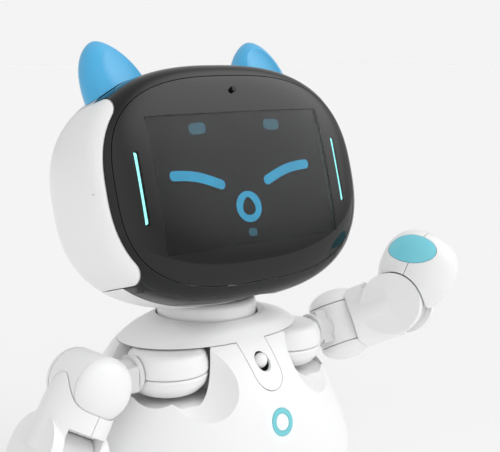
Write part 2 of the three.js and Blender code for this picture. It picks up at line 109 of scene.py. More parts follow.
def revolve(profile, axis="z", segments=96):
    """Solid of revolution from (radius, height) points, bottom first, about an axis."""
    turn = angles(segments)
    rings = []
    for radius, height in profile:
        radius = max(radius, 0.02)
        level = np.full(segments, float(height))
        first, second = radius * np.cos(turn), radius * np.sin(turn)
        order = {"z": (first, second, level), "y": (first, level, second), "x": (level, first, second)}
        rings.append(np.stack(order[axis], axis=1))
    return loft(rings)


def cylinder(axis, radius, start, end, segments=96):
    return revolve([(radius, start), (radius, end)], axis, segments)


def softened(points, radius, steps=6):
    """Profile with each inner corner replaced by a short smooth curve."""
    points = [Vector(p) for p in points]
    result = [points[0]]
    for before, corner, after in zip(points, points[1:], points[2:]):
        back, ahead = before - corner, after - corner
        reach = min(radius, back.length * 0.45, ahead.length * 0.45)
        start = corner + back.normalized() * reach
        end = corner + ahead.normalized() * reach
        for k in range(steps + 1):
            t = k / steps
            result.append(start * (1 - t) ** 2 + corner * 2 * t * (1 - t) + end * t * t)
    result.append(points[-1])
    return [tuple(p) for p in result]


def ellipsoid(rx, ry, rz, x=0.0, y=0.0, z=0.0, power=2.0, around=96, along=48):
    """Superellipsoid whose poles lie on the Y axis."""
    turn = angles(around)
    rings = []
    for level in np.linspace(0.004, math.pi - 0.004, along):
        direction = np.stack([
            math.sin(level) * np.cos(turn),
            np.full(around, -math.cos(level)),
            math.sin(level) * np.sin(turn),
        ], axis=1)
        scaled = np.abs(direction / np.array([rx, ry, rz])) ** power
        rings.append(direction * (scaled.sum(1) ** (-1 / power))[:, None] + np.array([x, y, z]))
    return loft(rings)


def prism(outline, start, end):
    """Outline of (x, z) points carried along Y."""
    outline = np.asarray(outline, float)
    rings = []
    for level in (start, end):
        rings.append(np.stack([outline[:, 0], np.full(len(outline), level), outline[:, 1]], 1))
    return loft(rings)


def moved(obj, x=0.0, y=0.0, z=0.0, rx=0.0, ry=0.0, rz=0.0):
    """Turns the form about the origin (degrees), then moves it."""
    turn = Euler([math.radians(a) for a in (rx, ry, rz)]).to_matrix().to_4x4()
    obj.data.transform(Matrix.Translation((x, y, z)) @ turn)
    return obj


def copy_of(obj):
    twin = obj.copy()
    twin.data = obj.data.copy()
    scene.collection.objects.link(twin)
    return twin


def combine(base, tool, operation):
    """Applies a boolean between two closed forms and removes the tool."""
    modifier = base.modifiers.new("combine", "BOOLEAN")
    modifier.solver = "MANIFOLD"
    modifier.operation = operation
    modifier.object = tool
    bpy.context.view_layer.update()
    graph = bpy.context.evaluated_depsgraph_get()
    result = bpy.data.meshes.new_from_object(base.evaluated_get(graph))
    base.modifiers.clear()
    base.data = result
    bpy.data.objects.remove(tool)
    return base


def cut(base, *tools):
    for tool in tools:
        combine(base, tool, "DIFFERENCE")
    return base


def join(base, *tools):
    for tool in tools:
        combine(base, tool, "UNION")
    return base


def common(base, tool):
    return combine(base, tool, "INTERSECT")


# ---------------------------------------------------------------- materials
def material(name):
    mat = bpy.data.materials.new(name)
    mat.use_nodes = True
    return mat, mat.node_tree.nodes, mat.node_tree.links


def ramp(nodes, links, source, low, high, start=0.3, end=0.7):
    """Maps a source between start and end onto low to high."""
    node = nodes.new("ShaderNodeMapRange")
    node.inputs["From Min"].default_value = start
    node.inputs["From Max"].default_value = end
    node.inputs["To Min"].default_value = low
    node.inputs["To Max"].default_value = high
    links.new(source, node.inputs["Value"])
    return node.outputs["Result"]


def noise(nodes, links, scale, detail=3.0):
    """Noise fixed to the piece's own coordinates."""
    where = nodes.new("ShaderNodeTexCoord")
    node = nodes.new("ShaderNodeTexNoise")
    node.inputs["Scale"].default_value = scale
    node.inputs["Detail"].default_value = detail
    links.new(where.outputs["Object"], node.inputs["Vector"])
    return node.outputs["Fac"]


def plastic(name, color, roughness, spread=0.05, grain=900.0, bump=0.03,
            edge=0.0005, coat=0.0, tint=0.03, ior=1.48):
    """Moulded plastic: faint colour and gloss variation, fine grain and softly rounded edges."""
    mat, nodes, links = material(name)
    shader = nodes["Principled BSDF"]
    shader.inputs["IOR"].default_value = ior
    shader.inputs["Coat Weight"].default_value = coat
    shader.inputs["Coat Roughness"].default_value = 0.08
    cloud = noise(nodes, links, 14.0, 4.0)
    mix = nodes.new("ShaderNodeMix")
    mix.data_type = "RGBA"
    mix.inputs[6].default_value = (*[c * (1 - tint) for c in color], 1)
    mix.inputs[7].default_value = (*color, 1)
    links.new(ramp(nodes, links, cloud, 0, 1), mix.inputs[0])
    links.new(mix.outputs[2], shader.inputs["Base Color"])
    links.new(ramp(nodes, links, noise(nodes, links, 60.0), roughness - spread, roughness + spread),
              shader.inputs["Roughness"])
    rounding = nodes.new("ShaderNodeBevel")
    rounding.samples = 4
    rounding.inputs["Radius"].default_value = edge
    relief = nodes.new("ShaderNodeBump")
    relief.inputs["Strength"].default_value = bump
    relief.inputs["Distance"].default_value = 0.0004
    links.new(noise(nodes, links, grain, 2.0), relief.inputs["Height"])
    links.new(rounding.outputs["Normal"], relief.inputs["Normal"])
    links.new(relief.outputs["Normal"], shader.inputs["Normal"])
    return mat


def with_painted_glow(mat, centre, color, inner, reach, strength):
    """Adds a painted glow round a lit ring: emission on the wall that stands in for light seeping through
    it, in the object's own X and Z.
    """
    nodes, links = mat.node_tree.nodes, mat.node_tree.links
    where = nodes.new("ShaderNodeTexCoord")
    flat = nodes.new("ShaderNodeVectorMath")
    flat.operation = "MULTIPLY"
    flat.inputs[1].default_value = (1, 0, 1)
    links.new(where.outputs["Object"], flat.inputs[0])
    distance = nodes.new("ShaderNodeVectorMath")
    distance.operation = "DISTANCE"
    distance.inputs[1].default_value = (centre[0], 0, centre[1])
    links.new(flat.outputs[0], distance.inputs[0])
    fall = nodes.new("ShaderNodeMapRange")
    fall.interpolation_type = "SMOOTHERSTEP"
    fall.inputs["From Min"].default_value = inner
    fall.inputs["From Max"].default_value = reach
    fall.inputs["To Min"].default_value = strength
    fall.inputs["To Max"].default_value = 0.0
    links.new(distance.outputs["Value"], fall.inputs["Value"])
    side = nodes.new("ShaderNodeSeparateXYZ")
    links.new(where.outputs["Object"], side.inputs[0])
    front = nodes.new("ShaderNodeMath")
    front.operation = "LESS_THAN"
    front.inputs[1].default_value = -0.05
    links.new(side.outputs["Y"], front.inputs[0])
    lit = nodes.new("ShaderNodeMath")
    lit.operation = "MULTIPLY"
    links.new(fall.outputs["Result"], lit.inputs[0])
    links.new(front.outputs[0], lit.inputs[1])
    shader = nodes["Principled BSDF"]
    shader.inputs["Emission Color"].default_value = (*color, 1)
    links.new(lit.outputs[0], shader.inputs["Emission Strength"])
    return mat


def glow(name, color, emission, strength, roughness=0.35):
    """Frosted lit plastic, a little uneven like a diffuser over lamps."""
    mat = plastic(name, color, roughness, bump=0.02, edge=0.0003)
    nodes, links = mat.node_tree.nodes, mat.node_tree.links
    shader = nodes["Principled BSDF"]
    shader.inputs["Emission Color"].default_value = (*emission, 1)
    links.new(ramp(nodes, links, noise(nodes, links, 90.0), strength * 0.92, strength * 1.08),
              shader.inputs["Emission Strength"])
    return mat


def rubber(name, color):
    return plastic(name, color, 0.75, spread=0.12, grain=420.0, bump=0.35, edge=0.0004, tint=0.2)


DISPLAY = {"half_width": 77.0, "half_height": 45.0, "front": -27.7}
BAR = {"x": 89.5, "low": -24.0, "high": 23.0, "width": 1.7}


def window_mask(nodes, links):
    """1 over the display and the two light bars, 0 where the glass is printed black."""
    where = nodes.new("ShaderNodeTexCoord")
    split = nodes.new("ShaderNodeSeparateXYZ")
    links.new(where.outputs["Object"], split.inputs[0])
    across = nodes.new("ShaderNodeMath")
    across.operation = "ABSOLUTE"
    links.new(split.outputs["X"], across.inputs[0])

    def inside(source, middle, half):
        node = nodes.new("ShaderNodeMath")
        node.operation = "COMPARE"
        node.inputs[1].default_value = middle
        node.inputs[2].default_value = half
        links.new(source, node.inputs[0])
        return node.outputs[0]

    def both(first, second, operation="MULTIPLY"):
        node = nodes.new("ShaderNodeMath")
        node.operation = operation
        links.new(first, node.inputs[0])
        links.new(second, node.inputs[1])
        return node.outputs[0]

    screen = both(
        inside(split.outputs["X"], 0.0, (DISPLAY["half_width"] + 1) / 1000),
        inside(split.outputs["Z"], 0.0, (DISPLAY["half_height"] + 1) / 1000),
    )
    middle = (BAR["low"] + BAR["high"]) / 2
    half_length = (BAR["high"] - BAR["low"]) / 2 + 1
    bars = both(
        inside(across.outputs[0], BAR["x"] / 1000, BAR["width"] / 1000),
        inside(split.outputs["Z"], middle / 1000, half_length / 1000),
    )
    return both(screen, bars, "MAXIMUM")


def tinted_glass(name):
    """Dark glass: clear but tinted over the lit areas, printed black behind the rest."""
    mat, nodes, links = material(name)
    clear = nodes["Principled BSDF"]
    clear.inputs["Base Color"].default_value = (0.75, 0.76, 0.77, 1)
    clear.inputs["Transmission Weight"].default_value = 1.0
    clear.inputs["IOR"].default_value = 1.3
    clear.inputs["Roughness"].default_value = 0.0
    printed = nodes.new("ShaderNodeBsdfPrincipled")
    printed.inputs["IOR"].default_value = 1.46
    printed.inputs["Base Color"].default_value = (0.004, 0.0042, 0.0045, 1)
    smudge = ramp(nodes, links, noise(nodes, links, 9.0), 0.03, 0.07)
    links.new(smudge, printed.inputs["Roughness"])
    mix = nodes.new("ShaderNodeMixShader")
    links.new(window_mask(nodes, links), mix.inputs[0])
    links.new(printed.outputs[0], mix.inputs[1])
    links.new(clear.outputs[0], mix.inputs[2])
    links.new(mix.outputs[0], nodes["Material Output"].inputs["Surface"])
    return mat


WHITE_LOOK = {
    "color": (0.92, 0.92, 0.922), "roughness": 0.3, "spread": 0.025,
    "bump": 0.02, "coat": 0.12, "tint": 0.006,
}
WHITE = plastic("white_plastic", **WHITE_LOOK)
WHITE_FRONT = plastic("white_plastic_front", **WHITE_LOOK)     # gets the painted glow round the chest ring
BLACK = plastic("black_gloss", (0.004, 0.0042, 0.0045), 0.1, spread=0.03, bump=0.01, edge=0.0008,
                ior=1.42)
GLASS_LOOK = tinted_glass("tinted_glass")
SCREEN = plastic("dark_screen", (0.004, 0.004, 0.0045), 0.35, bump=0.01, ior=1.12)
EAR = plastic("ear_blue", (0.075, 0.47, 0.82), 0.34, bump=0.03, coat=0.1, tint=0.06)
FRAME_GREY = plastic("frame_grey", (0.045, 0.048, 0.052), 0.5, bump=0.12)
# Grey for the shoulder hub. On the forearm core, which is really white, this darker tone is painted shade
# for the elbow slot it sits in.
HUB_GREY_AND_SHADED_CORE = plastic("hub_grey_and_shaded_core", (0.74, 0.74, 0.745), 0.36, bump=0.05)
SERVO = plastic("servo_black", (0.016, 0.017, 0.019), 0.42, bump=0.15)
BOARD = plastic("board_green", (0.01, 0.11, 0.05), 0.4, spread=0.1, bump=0.08, tint=0.3)
CELL = plastic("battery_wrap", (0.03, 0.09, 0.28), 0.35, bump=0.06, tint=0.12)
RUBBER = rubber("tyre_rubber", (0.02, 0.021, 0.022))
RING = glow("ring_glow", (0.12, 0.48, 0.53), (0.26, 0.6, 0.64), 0.26)
BAR_GLOW = glow("bar_glow", (0.3, 0.8, 0.8), (0.3, 0.95, 0.9), 1.6)
PALM = glow("palm_glow", (0.19, 0.6, 0.7), (0.12, 0.5, 0.62), 0.12)
STROKE = glow("stroke_blue", (0.0, 0.05, 0.1), (0.0, 0.42, 0.72), 0.8)
STROKE_DIM = glow("stroke_dim", (0.0, 0.03, 0.05), (0.0, 0.11, 0.16), 0.7)


# ---------------------------------------------------------------- placing
TORSO = Matrix.Translation((0, 0, 20))
NECK_Y = -5.0
PIVOT_Z = 190.0
HEAD = (
    TORSO
    @ Matrix.Translation((0, NECK_Y, PIVOT_Z))
    @ Matrix.Rotation(math.radians(-15.25), 4, "X")
    @ Matrix.Translation((0, -26, 38.5))
)


def place(obj, name, look, body, frame_at, replaced=(), mirror=False, crease=30):
    """Turns a form in millimetres into a finished piece in metres that rides on a body."""
    obj.name = name
    obj.data.name = name
    if mirror:
        obj.data.transform(Matrix.Scale(-1, 4, (1, 0, 0)))
        obj.data.flip_normals()
    work = bmesh.new()
    work.from_mesh(obj.data)
    bmesh.ops.remove_doubles(work, verts=work.verts, dist=0.002)
    work.to_mesh(obj.data)
    work.free()
    obj.data.transform(Matrix.Scale(0.001, 4))
    obj.data.shade_smooth()
    obj.data.set_sharp_from_angle(angle=math.radians(crease))
    obj.data.materials.clear()
    obj.data.materials.append(look)
    turned = frame_at.copy()
    turned.translation = frame_at.translation * 0.001
    obj.matrix_world = turned
    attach(obj, body)
    if replaced:
        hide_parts(*replaced)
    return obj


# ---------------------------------------------------------------- body casing
BODY_Y = -7.0
BODY_POWER = 2.15
# Rows of height, half width and half depth of the egg-shaped body.
SECTIONS = np.array([
    (-14, 80, 58), (-9, 96, 71), (0, 107.5, 80), (14, 114.5, 84.6), (30, 117, 86), (46, 113.5, 85.5),
    (62, 106, 83.6), (77, 98.6, 80.4), (92, 91.5, 74.5), (104, 86, 67.8), (114, 82, 60), (122, 78, 52.5),
    (129, 71.5, 45.5), (134, 63, 41.5), (137.5, 52, 38.5), (139.5, 44, 36.5),
])


def smooth_rows(table, steps):
    """Catmull-Rom curve through the rows of a table."""
    padded = np.vstack([2 * table[0] - table[1], table, 2 * table[-1] - table[-2]])
    rows = []
    for k in range(1, len(padded) - 2):
        a, b, c, d = padded[k - 1:k + 3]
        for t in np.arange(steps) / steps:
            rows.append(0.5 * (2 * b + (c - a) * t + (2 * a - 5 * b + 4 * c - d) * t ** 2
                               + (3 * b - a - 3 * c + d) * t ** 3))
    rows.append(table[-1])
    return np.array(rows)


def body_form(inset, around=240, steps=7):
    """The body's outer form, or the form a given distance inside it."""
    turn = angles(around)
    rings = []
    for z, width, depth in smooth_rows(SECTIONS, steps):
        reach = superellipse_reach(turn, width - inset, depth - inset, BODY_POWER)
        z = min(max(z, SECTIONS[0][0] + inset), SECTIONS[-1][0] - inset)
        x, y = reach * np.cos(turn), reach * np.sin(turn) + BODY_Y
        rings.append(np.stack([x, y, np.full(around, z)], 1))
    levels = [ring[0][2] for ring in rings]
    kept = [ring for k, ring in enumerate(rings) if k == 0 or levels[k] > levels[k - 1]]
    return loft(kept)


BARREL = {"x": 55.0, "y": -29.0, "radius": 29.0, "bottom": 93.0, "seam": 109.6, "top": 125.5}
NECK_RADIUS = 36.5
SCOOP = {"x": 59, "y": -137.5, "z": 119, "rx": 46.3, "ry": 100, "rz": 47.7}
WELL = {
    "radius": BARREL["radius"] + 1.3,
    "bottom": BARREL["bottom"] - 2.5,
    "top": BARREL["top"] + 0.9,
}
DOORWAY = {"depth": 60, "bottom": 97}
SEAM_Z = 126.8
SEAM_Y = 4.0
CHEST = {
    "dome_y": -64.5, "dome_z": 113.5, "dome_radius": 5.6,
    "ring_z": 74.5, "ring_outer": 9.1, "ring_inner": 6.1,
}
BUTTON = {"z": 84, "radius": 6.4, "rear": 66.4, "face": 70.4}
SOCKET = {"z": 28, "width": 14, "height": 10}


def ring_on_surface(inner, outer, proud, depth):
    """Ring round the middle of the chest that follows the casing between two depths."""
    tube = cut(cylinder("y", outer, -100, -60), cylinder("y", inner, -110, -50))
    skin = cut(body_form(proud), body_form(depth))
    return common(moved(tube, z=CHEST["ring_z"]), skin)


def shoulder_room(side, grow):
    """The dish, the round well and the doorway of one shoulder."""
    dish = ellipsoid(SCOOP["rx"] + grow, SCOOP["ry"] + grow, SCOOP["rz"] + grow,
                     side * SCOOP["x"], SCOOP["y"], SCOOP["z"], around=200, along=160)
    well = cylinder("z", WELL["radius"] + grow, WELL["bottom"] - grow, WELL["top"] + grow, 144)
    doorway = box(
        DOORWAY["depth"],
        2 * (WELL["radius"] + grow),
        WELL["top"] - DOORWAY["bottom"] + 2 * grow,
        side * (BARREL["x"] + DOORWAY["depth"] / 2),
        BARREL["y"],
        (WELL["top"] + DOORWAY["bottom"]) / 2,
    )
    return (
        common(dish, box(300, 300, SEAM_Z, 0, 0, SEAM_Z / 2)),
        moved(well, side * BARREL["x"], BARREL["y"]),
        doorway,
    )


TONGUE = {"radius": 12, "top": 137.5, "bend": 107.5, "flare": 1.5, "steps": 32}


def tongue(radius):
    """Round-ended tab of the top shell that reaches down round the chest dome."""
    top, bend, flare, steps = TONGUE["top"], TONGUE["bend"], TONGUE["flare"], TONGUE["steps"]
    arc = [(-radius - flare, top), (-radius, bend)]
    for k in range(1, steps):
        angle = math.pi + math.pi * k / steps
        arc.append((radius * math.cos(angle), bend + radius * math.sin(angle)))
    arc += [(radius, bend), (radius + flare, top)]
    return prism(arc, -100, -40)


def build_casing():
    """Front, rear and top shells of the body, split from one hollow form."""
    outer, hollow = body_form(0), body_form(WALL, 160, 4)
    for side, _ in SIDES:
        cut(outer, *shoulder_room(side, 0))
        cut(hollow, *shoulder_room(side, WALL))
    casing = cut(outer, hollow)
    cut(
        casing,
        moved(cylinder("z", NECK_RADIUS + 1.6, 120, 150, 144), y=NECK_Y),
        box(172, 118, 12, 0, BODY_Y, -14),
        moved(cylinder("y", CHEST["dome_radius"] + 0.6, -80, -50), z=CHEST["dome_z"]),
        ring_on_surface(CHEST["ring_inner"] - GAP, CHEST["ring_outer"] + GAP, -0.5, 1.3),
        moved(cylinder("y", BUTTON["radius"] + 0.6, 60, 95), z=BUTTON["z"]),
        box(SOCKET["width"] + 1, 30, SOCKET["height"] + 1, 0, 77, SOCKET["z"]),
    )
    top_zone = join(box(300, 300, 40, 0, 0, SEAM_Z + 20), tongue(TONGUE["radius"]))
    cape = common(copy_of(casing), top_zone)
    belly = cut(casing, box(300, 300, 40, 0, 0, SEAM_Z + 20 - GAP), tongue(TONGUE["radius"] + GAP))
    rear = common(copy_of(belly), box(300, 200, 300, 0, SEAM_Y + 100 + GAP / 2, 60))
    front = common(belly, box(300, 200, 300, 0, SEAM_Y - 100 - GAP / 2, 60))
    return front, rear, cape


front_shell, rear_shell, cape_shell = build_casing()
# Painted glow: emission on the front shell round the chest ring, standing in for light through the wall.
with_painted_glow(WHITE_FRONT, (0, CHEST["ring_z"] / 1000), (0.02, 0.55, 0.66), 0.0085, 0.0165, 0.13)
place(front_shell, "body_front", WHITE_FRONT, "torso", TORSO, ["body_front_shell"])
place(rear_shell, "body_rear", WHITE, "torso", TORSO, ["body_rear_shell"])
place(cape_shell, "cape", WHITE, "torso", TORSO, ["shoulder_cape"])

dome = ellipsoid(CHEST["dome_radius"], 4.4, CHEST["dome_radius"], 0, CHEST["dome_y"], CHEST["dome_z"])
place(dome, "dome", WHITE, "torso", TORSO, ["chest_dome"])


def ring_solid(profile, axis, segments=96):
    """Closed ring from a closed (radius, height) profile."""
    turn = angles(segments)
    profile = profile[:-1]
    points, faces = [], []
    for radius, height in profile:
        for angle in turn:
            first, second = radius * math.cos(angle), radius * math.sin(angle)
            points.append({"y": (first, height, second), "x": (height, first, second)}[axis])
    rows = len(profile)
    for r in range(rows):
        for i in range(segments):
            j, s = (i + 1) % segments, (r + 1) % rows
            faces.append((r * segments + i, r * segments + j, s * segments + j, s * segments + i))
    return form(points, faces)


ring = ring_on_surface(CHEST["ring_inner"], CHEST["ring_outer"], -0.15, 1.1)
place(ring, "chest_ring", RING, "torso", TORSO, ["chest_light_ring"])
button = revolve(softened([
    (0, BUTTON["rear"]), (BUTTON["radius"], BUTTON["rear"]),
    (BUTTON["radius"], BUTTON["face"]), (0, BUTTON["face"] + 0.2),
], 0.8), "y")
place(moved(button, z=BUTTON["z"]), "button", PALM, "power_button", TORSO, ["power_button"])

# ---------------------------------------------------------------- neck
collar_outside = softened([
    (0, 126.5), (33, 126.5), (NECK_RADIUS, 130), (NECK_RADIUS, 148), (34.5, 151), (30, 152), (0, 152),
], 1.6)
collar = cut(revolve(collar_outside, segments=144), cylinder("z", 17, 120, 160))
cut(collar, revolve([(0, 129), (32, 129), (34, 131), (34, 147), (30, 149.4), (0, 149.4)]))
place(moved(collar, y=NECK_Y), "collar", WHITE, "neck", TORSO, ["neck_collar"])

# ---------------------------------------------------------------- head casing
HEAD_SIZE = {"width": 119.0, "height": 84.3, "power": 2.57}
HEAD_FRONT = {"depth": 34.7, "power": 4.33}
HEAD_BACK = {"depth": 80.3, "power": 2.93}
BEZEL_Y = 1.5
PANEL = {"y": -24.3, "top": 62.5, "bottom": -61.0, "side": 82.0, "corner": 14.0}
GLASS = {"width": 106.5, "height": 72.3, "power": 2.86}


def head_profile(inset, count):
    """(share of the full ring, y) pairs from the front pole to the back pole, evenly spaced."""
    t = np.linspace(0.0, math.pi / 2, 800)
    halves = []
    for half, sign in ((HEAD_FRONT, -1), (HEAD_BACK, 1)):
        share = np.sin(t) ** (2 / half["power"])
        y = sign * (half["depth"] - inset) * np.cos(t) ** (2 / half["power"])
        halves.append(np.stack([share, y], 1))
    line = np.vstack([halves[0], halves[1][::-1][1:]])
    steps = np.hypot(np.diff(line[:, 0]) * 100, np.diff(line[:, 1]))
    along = np.concatenate([[0], np.cumsum(steps)])
    wanted = np.linspace(0, along[-1], count + 2)[1:-1]
    return np.stack([np.interp(wanted, along, line[:, k]) for k in (0, 1)], 1)


def head_form(inset, around=256, count=150):
    """The head's outer form, or the form a given distance inside it."""
    turn = angles(around)
    width, height = HEAD_SIZE["width"] - inset, HEAD_SIZE["height"] - inset
    reach = superellipse_reach(turn, width, height, HEAD_SIZE["power"])
    rings = []
    for share, y in head_profile(inset, count):
        x, z = share * reach * np.cos(turn), share * reach * np.sin(turn)
        rings.append(np.stack([x, np.full(around, y), z], 1))
    return loft(rings)


def rounded_rectangle(width, height, corner, steps=10):
    """Outline of (x, z) points round the origin."""
    points = []
    for k, (sx, sz) in enumerate(((1, 1), (-1, 1), (-1, -1), (1, -1))):
        for step in range(steps + 1):
            angle = math.pi / 2 * (k + step / steps)
            points.append((sx * (width / 2 - corner) + corner * math.cos(angle),
                           sz * (height / 2 - corner) + corner * math.sin(angle)))
    return points


def panel_zone(side, grow):
    """Block that takes the side panel out of the head, with rounded front corners."""
    height = PANEL["top"] - PANEL["bottom"] + 2 * grow
    outline = rounded_rectangle(240, height, PANEL["corner"], 16)
    block = prism(outline, 0, 60)
    moved(block, rz=-90)
    start = PANEL["side"] - grow if side > 0 else -PANEL["side"] - 60 + grow
    return moved(block, start, PANEL["y"] - grow + 120, (PANEL["top"] + PANEL["bottom"]) / 2)


def glass_prism(grow):
    """Block in the outline of the face glass."""
    turn = angles(192)
    reach = superellipse_reach(turn, GLASS["width"] + grow, GLASS["height"] + grow, GLASS["power"])
    return prism(np.stack([reach * np.cos(turn), reach * np.sin(turn)], 1), -60, 0)


def zone(start, end):
    """Slab across the whole head between two depths."""
    return box(300, end - start, 260, 0, (start + end) / 2, 0)


shell = cut(head_form(0), head_form(WALL, 160, 90))
# The underside is cleared for the collar over the whole range of the head tilt.
for pitch in range(-10, 21, 5):
    sweep = cylinder("z", NECK_RADIUS + 2, 92 - PIVOT_Z, 153 - PIVOT_Z)
    cut(shell, moved(moved(sweep, rx=pitch), y=26, z=-38.5))
panels = {side: common(copy_of(shell), panel_zone(side, 0)) for side, _ in SIDES}
cut(shell, panel_zone(-1, GAP), panel_zone(1, GAP))
glass = common(copy_of(shell), glass_prism(0))
rear = common(copy_of(shell), zone(BEZEL_Y + GAP, 100))
bezel = cut(common(shell, zone(-60, BEZEL_Y)), glass_prism(GAP))
place(rear, "head_rear", WHITE, "head", HEAD, ["head_shell"])
place(bezel, "bezel", BLACK, "head", HEAD, ["face_bezel"])
place(glass, "glass", GLASS_LOOK, "head", HEAD, ["face_glass"])
for side, word in SIDES:
    panel = cut(panels[side], box(3, 3.6, 0.9, side * 118.4, -18.6, 0))
    place(panel, f"panel_{word}", WHITE, "head", HEAD, [f"side_panel_{word}"])
    frame_bar = prism(rounded_rectangle(2 * BAR["width"], BAR["high"] - BAR["low"], 1.6), -1, 1)
    moved(frame_bar, side * BAR["x"], -28.2, (BAR["low"] + BAR["high"]) / 2, rz=side * 10)
    place(frame_bar, f"bar_{word}", BAR_GLOW, "head", HEAD, [f"light_bar_{word}"])


# ---------------------------------------------------------------- display and expression
def stroke(points, width, dense=8):
    """Outline of a line with round ends, as (x, z) points."""
    line = smooth_rows(np.array(points, float), dense)
    along = np.gradient(line, axis=0)
    along /= np.linalg.norm(along, axis=1)[:, None]
    normal = np.stack([-along[:, 1], along[:, 0]], 1)
    half = width / 2
    outline = list(line + normal * half)
    for end, sign in ((-1, 1), (0, -1)):
        start = math.atan2(normal[end][1], normal[end][0]) + (0 if sign > 0 else math.pi)
        for k in range(1, 12):
            angle = start - math.pi * k / 12
            outline.append(line[end] + half * np.array([math.cos(angle), math.sin(angle)]))
        if sign > 0:
            outline += list((line - normal * half)[::-1])
    return outline


EYE = [(21.4, -3.0), (31.0, 0.6), (40.5, 3.5), (50.7, 5.1), (60.1, 5.7)]
EYE_WIDTH = 6.8
FRONT = DISPLAY["front"]
display = prism(rounded_rectangle(158, 94, 2), FRONT + 0.1, -24.5)
place(display, "display", SCREEN, "head", HEAD, ["display_panel"])
eyes = {1: prism(stroke(EYE, EYE_WIDTH), FRONT - 0.2, FRONT + 0.05)}
eyes[-1] = prism(stroke([(-x, z) for x, z in EYE[::-1]], EYE_WIDTH), FRONT - 0.2, FRONT + 0.05)
turn = angles(64)
mouth_outer = np.stack([11.3 * np.cos(turn), 10.9 * np.sin(turn) - 20.3], 1)
drop = 5.6 - 1.6 * np.sin(turn)
mouth_inner = np.stack([drop * np.cos(turn), 6.4 * np.sin(turn) - 19.9], 1)
mouth = cut(prism(mouth_outer, FRONT - 0.2, FRONT + 0.05), prism(mouth_inner, FRONT - 1, FRONT + 1))
for side, word in SIDES:
    place(eyes[side], f"eye_stroke_{word}", STROKE, "head", HEAD)
    brow = prism(rounded_rectangle(14.6, 7.8, 3.6), -0.12, 0.12)
    moved(brow, side * 33.8, FRONT - 0.05, 36.6, ry=side * 4)
    place(brow, f"brow_{word}", STROKE_DIM, "head", HEAD)
place(mouth, "mouth_stroke", STROKE, "head", HEAD)
chin = prism(rounded_rectangle(7.6, 5.6, 2.7), FRONT - 0.17, FRONT + 0.05)
place(moved(chin, x=-0.4, z=-38.3), "chin_stroke", STROKE_DIM, "head", HEAD)
lens = revolve(softened([(0, -34.75), (2.1, -34.75), (2.1, -29), (0, -29)], 0.3), "y")
place(moved(lens, z=62), "camera_lens", BLACK, "head", HEAD, ["camera_window"])

# ---------------------------------------------------------------- ears
EAR_SIZE = {"half_width": 25.0, "half_depth": 17.0, "height": 46.5, "power": 2.2, "around": 128}
EAR_AT = {"x": 66, "y": 10, "z": 66, "lean": -17}


def ear_form():
    """Rounded, slightly leaning cone with a flattened tip, in its own upright frame."""
    around = EAR_SIZE["around"]
    turn = angles(around)
    flank = np.linspace(-0.3, 0.9, 30)
    tip = 1 - 0.1 * np.cos(np.linspace(0.05, 1, 24) * math.pi / 2)
    rings = []
    for t in np.concatenate([flank, tip]):
        taper = max((1 - max(t, 0.0) ** 2.0) ** 0.62, 0.004)
        shift = 5.0 * max(t, 0.0) ** 1.5
        width, depth = EAR_SIZE["half_width"] * taper, EAR_SIZE["half_depth"] * taper ** 0.8
        reach = superellipse_reach(turn, width, depth, EAR_SIZE["power"])
        height = np.full(around, t * EAR_SIZE["height"])
        rings.append(np.stack([reach * np.cos(turn) + shift, reach * np.sin(turn), height], 1))
    return loft(rings)


for side, word in SIDES:
    ear = ear_form()
    dish = ellipsoid(17.5, 7.5, 27, 0, 0, 0, around=128, along=64)
    cut(ear, moved(dish, -1.5, -17.5, 13, rx=-7))
    moved(ear, EAR_AT["x"], EAR_AT["y"], EAR_AT["z"], rx=EAR_AT["lean"])
    cut(ear, head_form(-0.3, 192, 110))
    place(ear, f"ear_shell_{word}", EAR, "head", HEAD, [f"ear_{word}"],
          mirror=side < 0, crease=40)

# ---------------------------------------------------------------- arms
HUB_Z = 113.0
DRUM = {"reach": 64.0, "radius": 21.3, "half": 15.5, "cap": 12.0}
ARM = {"elbow": 50.0, "sleeve": 24.5, "cheek": 23.5, "slot": 14.0, "hand_along": 31.0}
HAND = {"rx": 23.5, "ry": 29.5, "rz": 30.0, "y": 3.0, "power": 2.35}
PALM_SIZE = {"x": -20.6, "y": -3.0, "z": -46.2, "depth": 2.2, "length": 18.5, "height": 11.5}
PALM_TURN = {"lean": -14.0, "turn": -30.0}
REST = {"left": (-117, 27, 45), "right": (0, 30, 15)}     # raise, spread and elbow bend in degrees


def barrel_halves():
    """Lower and upper half of the shoulder barrel, open where the hub enters."""
    r, low_face, high_face = BARREL["radius"], BARREL["seam"] - GAP / 2, BARREL["seam"] + GAP / 2
    bottom, top = BARREL["bottom"], BARREL["top"]
    low = [(0, bottom), (r - 15, bottom + 0.6), (r - 7, 96.6), (r - 1.8, 102), (r, low_face), (0, low_face)]
    high = [(0, high_face), (r, high_face), (r - 0.4, 118), (r - 2.6, 123.6), (r - 6, top), (0, top)]
    lower = cut(revolve(softened(low, 2.2), segments=144), cylinder("z", 19.5, 99, 120))
    upper = cut(revolve(softened(high, 2.2), segments=144), cylinder("z", 19.5, 100, 122.5))
    for half in (lower, upper):
        cut(half, moved(cylinder("x", 11.2, 10, 60), z=HUB_Z))
    return lower, upper


def hub_saddle():
    """Shoulder hub ring with the saddle that holds the drum."""
    saddle = join(
        cylinder("x", 10.6, 12, 46),
        revolve(softened([(0, 28.4), (13.4, 28.4), (13.4, 32.4), (0, 32.4)], 0.8), "x"),
        box(10, 26, 17, 38, 0, 0),
    )
    return cut(saddle, moved(cylinder("y", DRUM["radius"] + GAP, -40, 40, 144), x=DRUM["reach"]))


